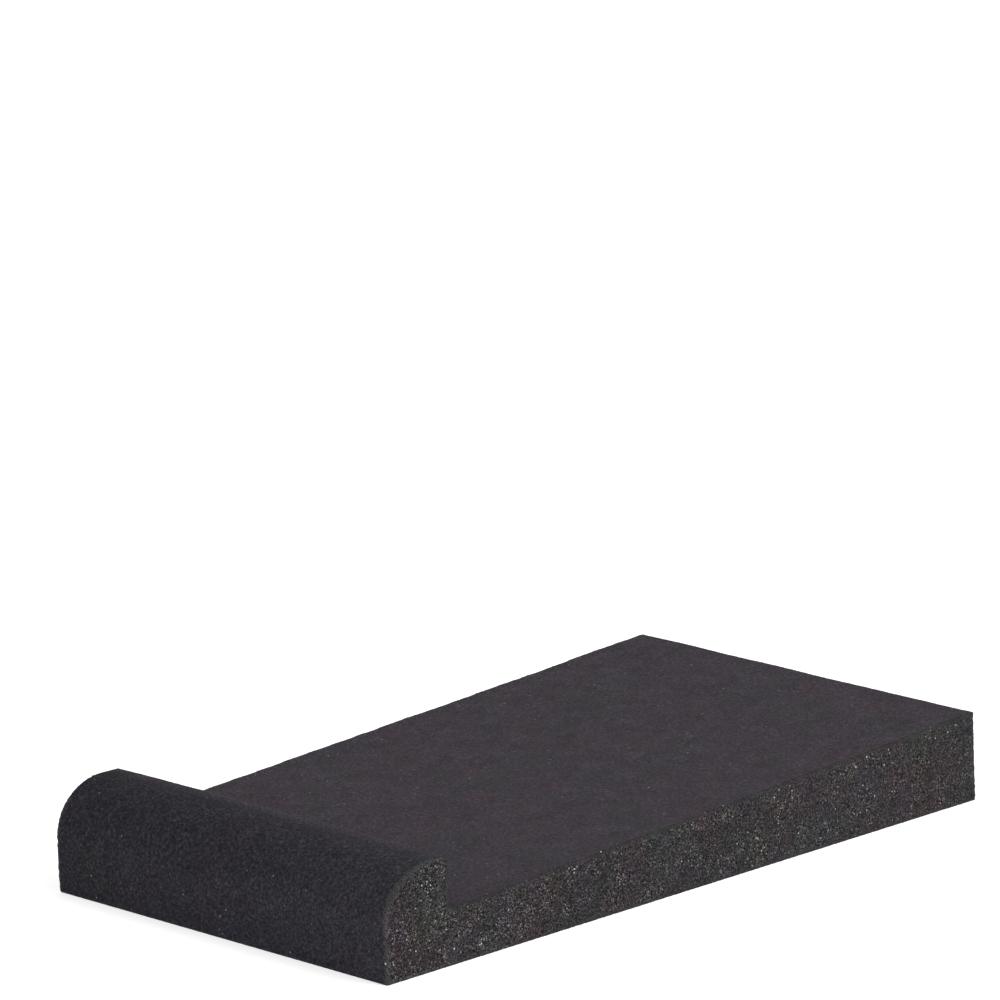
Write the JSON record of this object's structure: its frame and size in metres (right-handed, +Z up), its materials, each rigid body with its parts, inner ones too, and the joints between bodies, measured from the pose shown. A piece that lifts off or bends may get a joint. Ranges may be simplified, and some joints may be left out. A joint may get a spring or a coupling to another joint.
{
  "type": "speaker isolation pad",
  "caption": "Sloped rectangular pad of charcoal open-cell foam with a rounded stop lip along its front, to stand a loudspeaker on and damp its vibration.",
  "frame": {"origin": "middle of the flat underside", "axes": "+Z up, +Y from the lip at the front to the back, +X across the width, to the right as seen from the front"},
  "size_m": [0.172, 0.29, 0.0395],
  "materials": {
    "charcoal_foam": "matte open-cell polyurethane foam, wire-cut"
  },
  "bodies": {
    "root": {"foam_pad": "charcoal_foam"}
  },
  "joints": []
}
